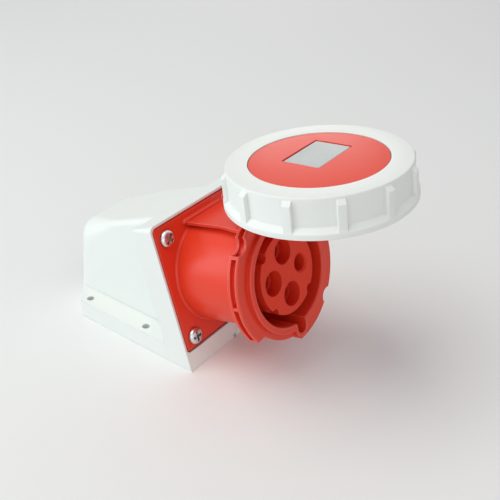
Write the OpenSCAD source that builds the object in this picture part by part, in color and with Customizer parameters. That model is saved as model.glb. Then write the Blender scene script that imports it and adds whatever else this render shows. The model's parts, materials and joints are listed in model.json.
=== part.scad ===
// Surface mounted power socket with a hinged lid and a bayonet locking ring.
// The wall face lies on z = 0, +Z points away from the wall and +X towards the mouth of the socket.
// The origin is the middle of the four wall holes. The lid is drawn open.

/* [Wall box] */
// Middle of the wall holes to the front bottom edge
front_x = 76; // [70:0.5:90]
// Middle of the wall holes to the foot of the rear wall
rear_x = 53.5; // [46:0.5:65]
// Width of the box at its foot, between the ledges
body_w = 66.8; // [64:0.2:72]
// Width of the box at its roof
roof_w = 62; // [58:0.2:66]
// Height of the ledges that take the wall screws
ledge_h = 14.8; // [10:0.2:20]
// Wall thickness of the box
box_wall = 3; // [2.5:0.1:4]
// Rim of the front frame beside the flange
side_rim = 1.4; // [1.2:0.1:3]
// Rim of the front frame above the flange
top_rim = 1.7; // [1.5:0.1:4]
// Thickness of the front frame at the ledges, along X
frame_low_t = 20; // [17:0.5:24]
// Thickness of the front frame at the roof, along X
frame_top_t = 15.4; // [14:0.2:18]
// Radius of the upper corners of the front frame
frame_round = 4; // [1:0.5:6]
// Lean of the front frame and of the socket axis
tilt = 15.6; // [12:0.2:19]
// Fall of the roof towards the rear
roof_slope = 22; // [18:0.5:25]
// Lean of the rear wall
rear_draft = 1.5; // [0.5:0.5:9]
// Rounding between roof, sides and rear wall
rear_round = 16; // [10:0.5:20]
// Rounding along the roof edges
edge_round = 4.5; // [4:0.1:7]
// Upright rounding of the rear corners
corner_round = 7.5; // [4:0.5:10]
// Length of the roof, from the frame back, that keeps a crisp edge
crisp_roof = 39; // [36:1:50]

/* [Wall holes] */
// Spacing of the wall holes along X
hole_pitch_x = 57; // [50:0.5:64]
// Outer edge of a ledge to the middle of its holes
hole_edge = 5.9; // [4:0.1:7]
// Diameter of a wall hole
wall_hole_d = 5.4; // [4.5:0.1:6.5]
// Rear wall holes to the slanted rear end of the ledges
ledge_end = 4.6; // [4:0.1:7]
// Length of the slanted rear end of the ledges, along X
ledge_slant = 12; // [8:0.5:14]

/* [Cable entry] */
// Radius of the cable entry in the rear wall
entry_r = 16; // [12:0.5:18]
// Height of the cable entry above the wall face
entry_z = 30; // [26:0.5:33]
// Wall of the boss round the cable entry
entry_wall = 5; // [4:0.5:7]
// Length of the cable entry
entry_len = 9; // [7:0.5:12]
// Clearance of the grommet in the cable entry
grommet_gap = 0.2; // [0.1:0.05:0.3]

/* [Flange] */
// Width of the socket flange
flange_w = 93.8; // [90:0.2:100]
// Height of the socket flange, along the front frame
flange_h = 92.6; // [90:0.2:100]
// Middle of the flange above the socket axis
flange_up = 0.7; // [0:0.1:1]
// Thickness of the socket flange
flange_t = 4.5; // [3.5:0.1:6]
// Radius of the flange corners
flange_round = 3; // [2:0.5:6]
// Chamfer along the front edge of the flange
flange_edge = 1.2; // [0.4:0.1:1.6]
// Gap between flange and frame rim
flange_gap = 0.6; // [0.2:0.05:0.8]
// Depth of the flange behind the frame rim
flange_sink = 0.4; // [0:0.1:1]
// Front bottom edge to the socket axis, along the front frame
socket_up = 60; // [57:0.5:66]
// Spacing of the flange screws, both ways
screw_pitch = 74; // [73:0.2:78]
// Shank radius of a flange screw
screw_r = 2.7; // [2.2:0.1:3]
// Head radius of a flange screw
screw_head_r = 5.9; // [5:0.1:6.5]
// Head height of a flange screw
screw_head_h = 3.4; // [2.5:0.1:4]
// Length of a flange screw under its head
screw_len = 12.4; // [10:0.1:13]
// Clearance round the screw shanks
screw_gap = 0.5; // [0.3:0.05:0.8]
// Thickness of the flange gasket
gasket_t = 1.5; // [1:0.1:2]

/* [Barrel] */
// Radius of the mouth and of the bore behind it
bore_r = 36; // [34.5:0.1:37]
// Wall of the barrel
barrel_wall = 2.5; // [2:0.1:3]
// Chamfer between the barrel and the flange
root_w = 1; // [0.5:0.1:1.6]
// Wall of the rim round the mouth
rim_wall = 4.5; // [4:0.1:5]
// Frame front to the rear face of the bayonet collar
collar_out = 55.5; // [54:0.5:64]
// Thickness of the bayonet collar
collar_t = 7.5; // [5.4:0.1:9]
// Rim of the mouth in front of the collar
rim_proud = 2.5; // [1.5:0.1:4]
// Fall of the collar front towards the rim
collar_fall = 0.3; // [0.1:0.1:1.6]
// Length of the sleeve behind the flange
sleeve_len = 7; // [5:0.5:8]
// Gap between the sleeve and the opening of the box
sleeve_gap = 0.5; // [0.3:0.05:0.8]
// Frame front to the rear of the web that stops the insert
web_out = 22; // [18:0.5:26]
// Thickness of that web
web_t = 7; // [5:0.5:9]
// Width of the keyway
key_w = 9.4; // [7:0.2:10]
// Depth of the keyway, outside the bore
key_depth = 9; // [5:0.1:10]
// Wall round the keyway
key_wall = 2; // [1.5:0.1:2.5]

/* [Bayonet lugs] */
// Outer radius of the lugs
lug_r = 50.5; // [49.5:0.1:52]
// Radius of the collar between the lugs
gap_r = 44.5; // [44.3:0.1:45]
// Thickness of the two walls of a lug
lug_wall = 1.7; // [1.5:0.1:2.2]
// Angle where a lug starts at its ramp
ramp_from = 77; // [74:0.5:80]
// Angle where the ramp reaches the full radius
ramp_to = 90; // [88:0.5:96]
// Angle where a lug ends
lug_to = 215; // [213:0.5:218]
// Angle of the notch in a lug
notch_at = 135.2; // [132:0.2:138]
// Radius of that notch
notch_r = 6.6; // [5:0.1:7]
// Depth of that notch
notch_depth = 4.4; // [3:0.1:5]

/* [Insert and contacts] */
// Radius of the insert
insert_r = 27.7; // [27.5:0.1:29]
// Gap round the insert and its flange
insert_gap = 0.3; // [0.2:0.05:0.5]
// Depth of the insert face behind the mouth
insert_sink = 2.3; // [1:0.1:5]
// Thickness of the insert flange
insert_flange_t = 4.5; // [3.5:0.1:6]
// Radius of the circle of contacts
pitch_r = 15.4; // [15:0.1:16]
// Radius of the three wide contact holes
wide_hole_r = 8.6; // [8.4:0.1:9]
// Depth of the wide part of a contact hole
wide_hole_depth = 9; // [6:0.5:12]
// Mouth radius of the narrow contact hole
narrow_mouth_r = 7.3; // [7:0.1:8]
// Radius of the narrow contact hole
narrow_hole_r = 5.9; // [5.8:0.05:6.2]
// Bore radius of a line contact
line_bore_r = 4.1; // [3.8:0.05:4.3]
// Bore radius of the earth contact
earth_bore_r = 5.1; // [4.8:0.05:5.3]
// Wall of a contact sleeve
contact_wall = 1.2; // [1:0.05:1.4]
// Depth of the bore of a contact
contact_bore = 24; // [20:0.5:26]
// Clearance of a contact in its hole
contact_gap = 0.1; // [0.05:0.05:0.2]
// Step from the wide hole to the contact face
contact_sink = 10; // [6:0.5:12]
// Radius of the collar on a contact
contact_collar_r = 8.2; // [7.8:0.1:8.6]
// Thickness of the collar on a contact
contact_collar_t = 3; // [2:0.1:3.5]
// Radius of the terminal end of a contact
terminal_r = 7.4; // [7:0.1:7.6]
// Length of the terminal end behind the carrier
terminal_len = 27; // [22:0.5:28]
// Radius of the wire hole in a terminal
wire_r = 4; // [3.5:0.1:4.5]
// Radius of a terminal screw
clamp_r = 2.5; // [2:0.1:3]
// Thickness of the carrier plate
carrier_t = 7; // [6:0.1:8]
// Radius of the barrier between the terminals
barrier_r = 28; // [26:0.5:28.5]
// Thickness of the barrier
barrier_t = 2.4; // [2:0.1:3]
// Radius of the circle of carrier screws
carrier_screw_at = 32; // [31.6:0.1:32.4]
// Radius of a carrier screw
carrier_screw_r = 1.6; // [1.3:0.1:1.8]

/* [Lid] */
// Angle between the closed lid and the lid as drawn
lid_open = 81; // [60:1:95]
// Gap between mouth rim and lid seal when the lid is closed
seal_gap = 0.3; // [0.2:0.05:0.6]
// Seal in front of its groove
seal_proud = 1; // [0.6:0.1:1.6]
// Depth of the seal groove
seal_groove = 1; // [0.6:0.1:1.4]
// Width of the lid seal
seal_w = 7; // [5:0.5:8]
// Thickness of the cap flange under the ring
cap_t = 3.1; // [2.6:0.1:4]
// Gap between cap and ring, along the axis
ring_gap = 0.3; // [0.2:0.05:0.6]
// Thickness of the ring top
ring_top_t = 3.4; // [2.8:0.1:4.5]
// Radius of the window in the ring
window_r = 41.5; // [40.5:0.1:44]
// Gap round the cap disc in the window
window_gap = 0.4; // [0.2:0.05:0.8]
// Depth of the disc edge behind the ring top
disc_sink = 0.4; // [0.4:0.1:1.4]
// Rise of the disc from its edge to its middle
disc_crown = 0.8; // [0.2:0.1:0.8]
// Thickness of the skin of the cap over its hollow
cap_skin = 3; // [2.4:0.1:4]
// Width of the recess for the rating plate
recess_w = 36.5; // [30:0.5:44]
// Height of the recess for the rating plate
recess_h = 26; // [20:0.5:32]
// Depth of the recess under the middle of the disc
recess_depth = 1.1; // [0.9:0.1:1.4]
// Rim of the recess round the rating plate
plate_rim = 1; // [0.5:0.1:2]
// Thickness of the rating plate
plate_t = 0.5; // [0.3:0.1:0.8]
// Place of the rating plate across the lid
plate_x = 5; // [0:0.5:6]
// Place of the rating plate towards the hinge
plate_y = 4; // [0:0.5:6]

/* [Bayonet ring] */
// Height of the ring
ring_h = 23.6; // [22:0.1:26]
// Gap between the lugs and the inside of the ring
lug_gap = 2.1; // [1.9:0.1:2.6]
// Thickness of the ring skirt
skirt_t = 2.2; // [1.8:0.1:2.8]
// Lip of the ring, outside the skirt
lip_proud = 3; // [2:0.1:4]
// Height of the outer face of the lip
lip_h = 3.4; // [2.4:0.1:5]
// Grip ribs, outside the skirt
rib_proud = 2.6; // [1.6:0.1:3]
// Number of grip ribs
rib_count = 12; // [8:1:16]
// Width of a grip rib, as an angle
rib_width = 5.6; // [3:0.2:8]
// Angle of the first grip rib
rib_from = 15; // [0:1:30]
// Middle angle of a bayonet tooth
tooth_at = 49.5; // [46:0.5:50]
// Width of a bayonet tooth, as an angle
tooth_width = 16; // [14:0.5:22]
// Reach of a tooth behind the lugs
tooth_reach = 4.1; // [3:0.1:4.6]
// Gap between a tooth and the rear of the lugs
tooth_gap = 0.6; // [0.4:0.1:1]
// Thickness of a tooth
tooth_t = 4; // [3:0.1:4.4]
// Hold of the snap beads under the cap flange
bead_hold = 0.4; // [0.3:0.05:0.6]

/* [Hinge] */
// Hinge pin under the ring, along the axis of the closed lid
hinge_drop = 6.9; // [6.7:0.1:8]
// Hinge pin outside the lip of the ring
hinge_rise = 1.1; // [0.5:0.1:2.5]
// Radius of the hinge pin
pin_r = 2.5; // [2:0.1:3]
// Clearance of the pin in the lid
pin_gap = 0.05; // [0.02:0.01:0.09]
// Half width of the lid arm
arm_half = 12.4; // [11:0.1:12.8]
// Gap between the lid arm and each ear
ear_gap = 0.4; // [0.3:0.05:0.6]
// Thickness of an ear
ear_t = 4.2; // [4:0.1:6]
// Gap between the hinge knuckles and the ring lip
lip_gap = 0.7; // [0.5:0.1:1]
// Height of the lid arm
arm_t = 5.6; // [4.5:0.1:5.8]
// Height of the shelf on the barrel, above its top
shelf_up = 1.6; // [1:0.1:2]
// Thickness of the shelf
shelf_t = 2; // [2:0.1:3]
// Half width of the shelf at the flange
shelf_half = 17; // [14:0.5:17]
// Half width of the shelf at the collar
shelf_flare = 22.4; // [20:0.2:22.4]
// Height of the bead between shelf and flange
bead_h = 2.4; // [2:0.1:3.4]

/* [Hidden] */
$fn = 96;
ball_fn = 32;
overlap = 0.5;
far = 400;

white = [0.93, 0.94, 0.92];
red = [0.84, 0.15, 0.13];
rubber = [0.12, 0.12, 0.13];
brass = [0.80, 0.62, 0.30];
steel = [0.74, 0.75, 0.76];

// Front frame
base_w = flange_w + 2 * (flange_gap + side_rim);
frame_h = socket_up + flange_up + flange_h / 2 + flange_gap + top_rim;
frame_top_x = front_x - frame_h * sin(tilt);
frame_top_z = frame_h * cos(tilt);
frame_back_x = frame_top_x - frame_top_t;
frame_foot_x = front_x - ledge_h * tan(tilt) - frame_low_t;
seat_depth = flange_sink + flange_t + gasket_t;
opening_r = bore_r + barrel_wall + sleeve_gap;
opening_depth = flange_sink + flange_t + sleeve_len + sleeve_gap;
cavity_front = opening_depth - overlap;
throat_len = 24;

// Wall holes
hole_x = hole_pitch_x / 2;
hole_y = base_w / 2 - hole_edge;

// Barrel and collar, measured along the socket axis from the frame front
barrel_r = bore_r + barrel_wall;
rim_r = bore_r + rim_wall;
flange_front = -flange_sink;
flange_back = flange_front - flange_t;
collar_front = collar_out + collar_t;
mouth_out = collar_front + rim_proud;
web_front = web_out + web_t;
key_r = bore_r + key_depth;
rim_chamfer = 0.8;
key_front = mouth_out - 0.25;
lug_slant = 5;
pocket_r = (gap_r + lug_r) / 2;
notch_floor = gap_r + 0.3;
pocket_rib = lug_wall / lug_r * 60;
notch_half = asin((notch_r - 0.2) / lug_r);
pocket_from = notch_at + notch_half + pocket_rib;
pocket_mid = (pocket_from + lug_to) / 2;
pockets = [[ramp_to + 24, pocket_from - pocket_rib - 0.5, notch_floor],
  [pocket_from, pocket_mid, pocket_r], [pocket_mid + pocket_rib, lug_to - pocket_rib, pocket_r]];

// Insert and contacts
insert_face = mouth_out - insert_sink;
insert_back = web_out - insert_flange_t;
insert_flange_r = bore_r - insert_gap;
carrier_back = insert_back - carrier_t;
contact_face = insert_face - wide_hole_depth - contact_sink;
terminal_end = carrier_back - terminal_len;
line_r = line_bore_r + contact_wall;
earth_r = earth_bore_r + contact_wall;
spring_r = 0.45;
spring_back = 4;
slit_w = 0.8;
slit_len = 14;
clamp_back = 7;
clamp_len = terminal_r - wire_r + 1.4;
carrier_screw_len = web_t - 2 + insert_flange_t + carrier_t;
carrier_screw_angles = [30, 150, 270];
rim_notches = [135, 224.5, 311.5];
rim_notch_r = 3.6;
rim_notch_len = 7;

// Lid, measured along the socket axis with the lid closed
seal_face = mouth_out + seal_gap;
cap_back = seal_face + seal_proud;
cap_front = cap_back + cap_t;
ring_top_back = cap_front + ring_gap;
lid_top = ring_top_back + ring_top_t;
ring_back = lid_top - ring_h;
disc_r = window_r - window_gap;
disc_edge = lid_top - disc_sink;
plate_floor = disc_edge + disc_crown - recess_depth;
ring_in_r = lug_r + lug_gap;
skirt_r = ring_in_r + skirt_t;
lip_r = skirt_r + lip_proud;
rib_r = skirt_r + rib_proud;
cap_r = ring_in_r - 2.2;
bead_r = cap_r - bead_hold;
bead_t = 1.4;
bead_angle = 16;
bead_count = 6;
tooth_front = collar_out - tooth_gap;
seal_r = (bore_r + rim_r) / 2;
cap_hollow_r = seal_r - seal_w / 2 - 2;
cap_rib_t = 2;

// Hinge, up from the socket axis and out along it
hinge_up = lip_r + hinge_rise;
hinge_out = ring_back - hinge_drop;
knuckle_r = hinge_drop - lip_gap;
ear_r = knuckle_r - 1.5;
slot_half = arm_half + ear_gap;
slot_cut = slot_half + ear_gap;
ear_half = slot_half + ear_t;
shelf_top = barrel_r + shelf_up;
arm_low = rim_r + 1.7;
arm_high = arm_low + arm_t;
ear_foot_out = hinge_out + 2;
ear_up = sqrt(lug_r * lug_r - ear_half * ear_half) - 0.6;

// Places a part on the front frame: x across, y up the frame, z out of it.
module at_face() {
  translate([front_x, 0, 0]) rotate([0, -tilt, 0]) rotate([90, 0, 90]) children();
}

// Places a part on the socket axis, with z along it from the frame front.
module at_socket() {
  at_face() translate([0, socket_up, 0]) children();
}

// Places a part that is drawn on the closed lid, and opens it about the hinge pin.
module at_lid() {
  at_socket()
    translate([0, hinge_up, hinge_out])
      rotate([-lid_open, 0, 0])
        translate([0, -hinge_up, -hinge_out]) children();
}

// Extrudes an outline of [up, out] points across the socket, between two x values.
module across(from, to) {
  translate([from, 0, 0]) rotate([90, 0, 90]) linear_extrude(to - from) children();
}

// A tube between two radii and two heights.
module tube(inner, outer, from, to) {
  translate([0, 0, from]) difference() {
    cylinder(r = outer, h = to - from);
    translate([0, 0, -overlap]) cylinder(r = inner, h = to - from + 2 * overlap);
  }
}

// A block of a tube between two angles.
module arc_block(inner, outer, from, to, low, high) {
  translate([0, 0, low]) rotate([0, 0, from]) rotate_extrude(angle = to - from)
    translate([inner, 0]) square([outer - inner, high - low]);
}

// A pie slice of a circle between two angles.
module slice(radius, from, to) {
  reach = 2 * radius;
  step = (to - from) / 4;
  intersection() {
    circle(radius);
    polygon(concat([[0, 0]], [for (i = [0:4]) reach * [cos(from + i * step), sin(from + i * step)]]));
  }
}

module rounded_rect(w, h, r) {
  square([w - 2 * r, h], center = true);
  square([w, h - 2 * r], center = true);
  for (x = [-1, 1]) for (y = [-1, 1])
    translate([x * (w / 2 - r), y * (h / 2 - r)]) circle(r);
}

module at_flange_screws() {
  for (x = [-1, 1]) for (y = [-1, 1])
    translate([x * screw_pitch / 2, y * screw_pitch / 2, 0]) children();
}

module at_contact(angle) {
  rotate(angle) translate([pitch_r, 0, 0]) children();
}

// Centre of a ball inside both the roof and the rear wall.
function roof_z(x) = frame_top_z - (frame_top_x - x) * tan(roof_slope);
function ball_z(r) = (roof_z(-rear_x) + tan(roof_slope) * r / cos(rear_draft) - r / cos(roof_slope))
  / (1 - tan(roof_slope) * tan(rear_draft));
function ball_x(r) = r / cos(rear_draft) - rear_x + ball_z(r) * tan(rear_draft);

// The box behind the front frame, or its hollow when it is drawn smaller.
module box_form(inset, front, foot) {
  half = body_w / 2 - inset;
  corner = corner_round - inset;
  hull() {
    translate([0, 0, foot]) linear_extrude(1) {
      for (side = [-1, 1]) translate([inset + corner - rear_x, side * (half - corner)])
        circle(corner, $fn = ball_fn);
      translate([front_x - ledge_h - front, -half]) square([1, 2 * half]);
    }
    for (side = [-1, 1]) {
      translate([ball_x(rear_round), side * (roof_w / 2 - rear_round), ball_z(rear_round)])
        sphere(rear_round - inset, $fn = ball_fn);
      for (x = [frame_back_x + overlap - front / 2, frame_back_x - crisp_roof])
        translate([x, side * (roof_w / 2 - edge_round), roof_z(x) - edge_round / cos(roof_slope)])
          sphere(edge_round - inset, $fn = ball_fn);
    }
  }
}

// The full-width frame that leans back with the socket.
module front_frame() {
  half = base_w / 2;
  intersection() {
    rotate([90, 0, 0]) translate([0, 0, -half]) linear_extrude(base_w)
      polygon([[front_x, 0], [frame_top_x, frame_top_z], [frame_back_x, roof_z(frame_back_x)],
        [frame_foot_x, ledge_h], [frame_foot_x, 0]]);
    at_face() translate([0, 0, -far / 2]) linear_extrude(far) {
      translate([0, (frame_h - far) / 2]) rounded_rect(base_w, frame_h + far, frame_round);
    }
  }
}

// The foot of the box with the two ledges, slanted at their rear ends.
module ledges() {
  side = base_w / 2;
  ledge_rear = -hole_x - ledge_end;
  body = body_w / 2 - box_wall;
  linear_extrude(ledge_h) polygon([[frame_foot_x + overlap, -side], [ledge_rear, -side],
    [ledge_rear - ledge_slant, -body], [ledge_rear - ledge_slant, body], [ledge_rear, side],
    [frame_foot_x + overlap, side]]);
}

module entry_axis() {
  translate([-rear_x - 1.5, 0, entry_z]) rotate([0, 90, 0]) children();
}

module wall_box() {
  drain = 3;
  color(white) difference() {
    union() {
      difference() {
        union() {
          box_form(0, 0, 0);
          front_frame();
          ledges();
        }
        box_form(box_wall, cavity_front, box_wall);
      }
      entry_axis() cylinder(r = entry_r + entry_wall, h = entry_len);
    }
    entry_axis() translate([0, 0, -overlap]) cylinder(r = entry_r, h = entry_len + 2 * overlap);
    at_socket() {
      translate([0, flange_up, -seat_depth]) linear_extrude(far)
        rounded_rect(flange_w + 2 * flange_gap, flange_h + 2 * flange_gap, flange_round + flange_gap);
      translate([0, 0, -opening_depth]) cylinder(r = opening_r, h = opening_depth);
      translate([0, 0, -opening_depth - throat_len]) linear_extrude(throat_len + overlap)
        intersection() {
          circle(opening_r - 1);
          square([roof_w - 2 * box_wall, far], center = true);
        }
      at_flange_screws() translate([0, 0, flange_front - screw_len - overlap])
        cylinder(r = screw_r, h = screw_len);
    }
    for (x = [-1, 1]) for (y = [-1, 1])
      translate([x * hole_x, y * hole_y, -overlap]) cylinder(d = wall_hole_d, h = ledge_h + 2 * overlap);
    translate([front_x - drain, -drain / 2, -overlap]) cube([drain * 2, drain, drain]);
  }
}

module flange_gasket() {
  color(rubber) at_socket() translate([0, 0, -seat_depth]) linear_extrude(gasket_t) difference() {
    translate([0, flange_up]) rounded_rect(flange_w, flange_h, flange_round);
    circle(opening_r);
    at_flange_screws() circle(screw_r + screw_gap);
  }
}

// Outline of the bayonet collar: two equal halves, each a ramp, a long lug with a notch, and a gap.
module collar_outline() {
  circle(gap_r);
  for (turn = [0, 180]) rotate(turn) difference() {
    union() {
      slice(lug_r, ramp_to, lug_to);
      polygon([[0, 0], (gap_r - overlap) * [cos(ramp_from), sin(ramp_from)],
        lug_r * [cos(ramp_to), sin(ramp_to)]]);
      polygon([[0, 0], (lug_r - 0.4) * [cos(lug_to - 0.3), sin(lug_to - 0.3)],
        (gap_r - overlap) * [cos(lug_to + lug_slant), sin(lug_to + lug_slant)]]);
    }
    rotate(notch_at) translate([lug_r - notch_depth + notch_r, 0]) circle(notch_r);
  }
}

// The collar with a front that falls towards the rim, and with pockets that open outwards.
module collar() {
  difference() {
    intersection() {
      translate([0, 0, collar_out]) linear_extrude(collar_t) collar_outline();
      rotate_extrude()
        polygon([[bore_r + overlap, collar_out - overlap], [lug_r + 1, collar_out - overlap],
          [lug_r + 1, collar_front - 1.6], [lug_r - 0.6, collar_front], [rim_r, collar_front - collar_fall],
          [bore_r + overlap, collar_front - collar_fall]]);
    }
    for (turn = [0, 180]) for (pocket = pockets)
      arc_block(pocket[2], lug_r + 1, turn + pocket[0], turn + pocket[1], collar_out + lug_wall,
        collar_front - lug_wall);
  }
}

module barrel() {
  tube(bore_r, barrel_r, flange_back - sleeve_len, collar_out + overlap);
  tube(insert_r + insert_gap, bore_r + overlap, web_out, web_front);
  rotate_extrude()
    polygon([[barrel_r - overlap, flange_front - overlap], [barrel_r + root_w, flange_front - overlap],
      [barrel_r + root_w, flange_front], [barrel_r, flange_front + root_w],
      [barrel_r - overlap, flange_front + root_w]]);
  rotate_extrude()
    polygon([[bore_r, collar_out], [rim_r, collar_out], [rim_r, mouth_out - rim_chamfer / 2],
      [rim_r - rim_chamfer / 2, mouth_out], [bore_r + rim_chamfer, mouth_out],
      [bore_r, mouth_out - rim_chamfer]]);
}

module keyway(wall, from, to) {
  half = key_w / 2 + wall;
  translate([0, 0, from]) linear_extrude(to - from) {
    translate([0, key_w / 2 - key_r]) circle(half);
    translate([-half, key_w / 2 - key_r])
      square([2 * half, key_r - key_w / 2 - insert_r - 2 * wall - 2]);
  }
}

// The flat shelf from the flange to the collar, with a rounded bead along the flange.
module hinge_shelf() {
  straight = 0.6 * collar_out;
  side = [[shelf_half, flange_back + overlap], [shelf_half + 2, straight], [shelf_flare, hinge_out + 3],
    [shelf_flare, collar_out + overlap]];
  mirrored = [for (i = [len(side) - 1:-1:0]) [-side[i][0], side[i][1]]];
  bead_half = shelf_half + 2.6;
  bead_r = 0.75 * bead_h;
  translate([0, shelf_top, 0]) rotate([90, 0, 0]) linear_extrude(shelf_t)
    polygon(concat(side, mirrored));
  translate([0, shelf_top + bead_h - bead_r, flange_front + bead_h - bead_r]) rotate([0, 90, 0])
    rotate_extrude() polygon([[0, -bead_half], [0.5 * bead_r, -bead_half],
      [0.87 * bead_r, 0.4 * bead_r - bead_half], [bead_r, bead_r - bead_half],
      [bead_r, bead_half - bead_r], [0.87 * bead_r, bead_half - 0.4 * bead_r],
      [0.5 * bead_r, bead_half], [0, bead_half]]);
}

module hinge_ears() {
  low = shelf_top - shelf_t / 2;
  front = collar_out + 2 * overlap;
  for (x = [-ear_half, slot_half]) {
    across(x, x + ear_t) difference() {
      union() {
        polygon([[low, ear_foot_out], [low, front], [ear_up, front], [ear_up, ring_back - lip_gap],
          [hinge_up, hinge_out + ear_r], [hinge_up, hinge_out - ear_r]]);
        translate([hinge_up, hinge_out]) circle(ear_r);
      }
      translate([hinge_up, hinge_out]) circle(pin_r);
    }
  }
}

// The square flange with its front edges chamfered.
module flange() {
  intersection() {
    translate([0, 0, flange_back]) linear_extrude(flange_t) difference() {
      translate([0, flange_up]) rounded_rect(flange_w, flange_h, flange_round);
      circle(barrel_r - overlap);
      at_flange_screws() circle(screw_r + screw_gap);
    }
    across(-far, far) translate([flange_up, 0]) flange_side(flange_h / 2);
    rotate(90) across(-far, far) flange_side(flange_w / 2);
  }
}

module flange_side(half) {
  low = flange_front - flange_edge;
  polygon([[-half - overlap, flange_back - overlap], [half + overlap, flange_back - overlap],
    [half + overlap, low - overlap], [half - flange_edge, flange_front],
    [half - flange_edge, flange_front + overlap], [flange_edge - half, flange_front + overlap],
    [flange_edge - half, flange_front], [-half - overlap, low - overlap]]);
}

module socket_body() {
  color(red) at_socket() difference() {
    union() {
      flange();
      barrel();
      difference() {
        collar();
        translate([-slot_cut, rim_r - overlap, collar_out - overlap])
          cube([2 * slot_cut, lug_r, collar_t + 2 * overlap]);
      }
      intersection() {
        keyway(key_wall, web_out, collar_front);
        tube(bore_r, lug_r, web_out, collar_front);
      }
      intersection() {
        keyway(key_wall, collar_front - 2, key_front);
        tube(rim_r - 1, lug_r, collar_front - 2, key_front);
      }
      hinge_shelf();
      hinge_ears();
    }
    keyway(0, web_front, mouth_out + overlap);
    for (angle = carrier_screw_angles)
      rotate(angle) translate([carrier_screw_at, 0, web_out - overlap])
        cylinder(r = carrier_screw_r, h = web_t - 2 + overlap);
  }
}

module flange_screws() {
  cross_w = 1.5;
  cross_l = 1.15 * screw_head_r;
  color(steel) at_socket() at_flange_screws() translate([0, 0, flange_front]) difference() {
    union() {
      translate([0, 0, -screw_len]) cylinder(r = screw_r, h = screw_len + overlap);
      intersection() {
        cylinder(r = screw_head_r, h = screw_head_h);
        translate([0, 0, screw_head_h - 1.4 * screw_head_r]) sphere(1.4 * screw_head_r);
      }
    }
    for (turn = [0, 90]) rotate(turn + 20) translate([-cross_l / 2, -cross_w / 2, screw_head_h / 2])
      cube([cross_l, cross_w, screw_head_h]);
  }
}

// A contact hole from the insert face: a mouth of its own, then room for the spring, then a close seat.
module contact_hole(angle, mouth_r, sleeve_r) {
  at_contact(angle) {
    translate([0, 0, insert_face - wide_hole_depth])
      cylinder(r = mouth_r, h = wide_hole_depth + overlap);
    translate([0, 0, web_out])
      cylinder(r = sleeve_r + 2 * spring_r, h = insert_face - wide_hole_depth - web_out + overlap);
    translate([0, 0, insert_back - overlap])
      cylinder(r = sleeve_r + contact_gap, h = web_out);
  }
}

module contact_insert() {
  chamfer = narrow_mouth_r - narrow_hole_r;
  color(red) at_socket() difference() {
    union() {
      translate([0, 0, insert_back]) cylinder(r = insert_r, h = insert_face - insert_back);
      translate([0, 0, insert_back]) cylinder(r = insert_flange_r, h = insert_flange_t);
    }
    contact_hole(90, wide_hole_r, line_r);
    contact_hole(180, wide_hole_r, line_r);
    contact_hole(270, wide_hole_r, earth_r);
    contact_hole(0, narrow_hole_r, line_r);
    at_contact(0) translate([0, 0, insert_face - chamfer])
      cylinder(r1 = narrow_hole_r, r2 = narrow_mouth_r + overlap, h = chamfer + overlap);
    for (angle = rim_notches)
      rotate(angle) translate([insert_r + rim_notch_r / 4, 0, insert_face - rim_notch_len])
        cylinder(r = rim_notch_r, h = rim_notch_len + overlap);
    for (angle = carrier_screw_angles)
      rotate(angle) translate([carrier_screw_at, 0, insert_back - overlap])
        cylinder(r = carrier_screw_r + screw_gap, h = insert_flange_t + 2 * overlap);
  }
}

// A turned contact: split sleeve with a spring groove, collar, and terminal end with wire hole.
module contact(angle, bore) {
  outer = bore + contact_wall;
  color(brass) at_socket() at_contact(angle) difference() {
    union() {
      translate([0, 0, insert_back - overlap])
        cylinder(r = outer, h = contact_face - insert_back + overlap);
      translate([0, 0, insert_back - contact_collar_t])
        cylinder(r = contact_collar_r, h = contact_collar_t);
      translate([0, 0, terminal_end])
        cylinder(r = terminal_r, h = insert_back - terminal_end - overlap);
    }
    translate([0, 0, contact_face - contact_bore]) cylinder(r = bore, h = contact_bore + overlap);
    translate([0, 0, contact_face - spring_back])
      tube(outer - spring_r, outer + overlap, -spring_r, spring_r);
    translate([-outer - overlap, -slit_w / 2, contact_face - slit_len])
      cube([2 * (outer + overlap), slit_w, slit_len + overlap]);
    translate([0, 0, terminal_end - overlap]) cylinder(r = wire_r, h = 2 * clamp_back + overlap);
    translate([0, 0, terminal_end + clamp_back]) rotate([0, 90, 0])
      cylinder(r = clamp_r, h = terminal_r + overlap);
  }
}

module contact_top() {
  contact(90, line_bore_r);
}

module contact_right() {
  contact(0, line_bore_r);
}

module contact_left() {
  contact(180, line_bore_r);
}

module contact_earth() {
  contact(270, earth_bore_r);
}

// One spring ring in the groove of each contact.
module contact_springs() {
  color(steel) at_socket() for (angle = [0:90:270]) at_contact(angle) {
    sleeve = angle == 270 ? earth_r : line_r;
    translate([0, 0, contact_face - spring_back]) rotate_extrude()
      translate([sleeve, 0]) square([2 * spring_r, 2 * spring_r], center = true);
  }
}

module terminal_carrier() {
  barrier_len = terminal_len - 2;
  color(red) at_socket() difference() {
    union() {
      translate([0, 0, carrier_back]) cylinder(r = insert_flange_r, h = carrier_t);
      intersection() {
        translate([0, 0, carrier_back - barrier_len])
          cylinder(r = barrier_r, h = barrier_len + overlap);
        for (turn = [45, 135]) rotate(turn) translate([-far / 2, -barrier_t / 2, -far / 2])
          cube([far, barrier_t, far]);
      }
    }
    for (angle = [0:90:270]) at_contact(angle) {
      translate([0, 0, insert_back - contact_collar_t])
        cylinder(r = contact_collar_r + contact_gap, h = carrier_t);
      translate([0, 0, carrier_back - overlap])
        cylinder(r = terminal_r + contact_gap, h = carrier_t + overlap);
    }
    for (angle = carrier_screw_angles)
      rotate(angle) translate([carrier_screw_at, 0, carrier_back - overlap])
        cylinder(r = carrier_screw_r + screw_gap, h = carrier_t + 2 * overlap);
  }
}

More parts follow.
